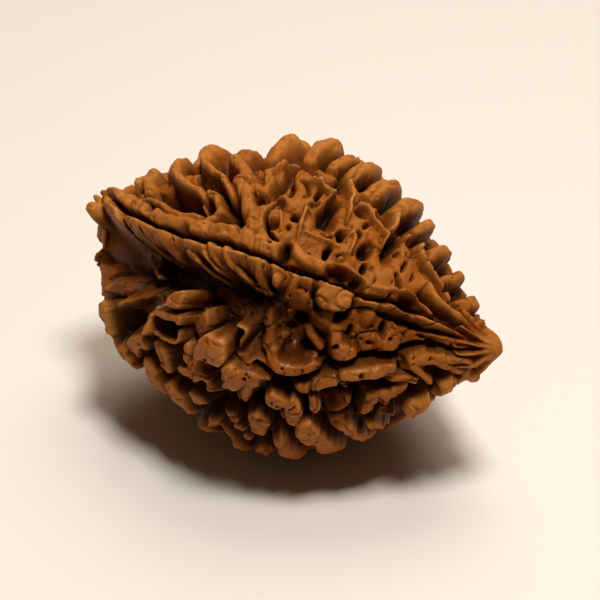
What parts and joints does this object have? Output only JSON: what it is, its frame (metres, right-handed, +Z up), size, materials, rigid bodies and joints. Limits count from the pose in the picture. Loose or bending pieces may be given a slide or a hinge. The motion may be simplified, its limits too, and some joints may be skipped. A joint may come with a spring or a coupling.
{
  "type": "rudraksha bead",
  "caption": "Whole dried fruit stone, rounded at one end and beaked at the other, with knobbed folds and split seams, resting on a few low knobs.",
  "frame": {"origin": "centre of the bounding box, on the plane the bead rests on", "axes": "+X along the long axis towards the beak, +Z up"},
  "size_m": [0.027, 0.0186, 0.0179],
  "materials": {
    "bead_wood": "waxy satin, nearly black in the folds"
  },
  "bodies": {
    "root": {"rudraksha_bead": "bead_wood"}
  },
  "joints": []
}
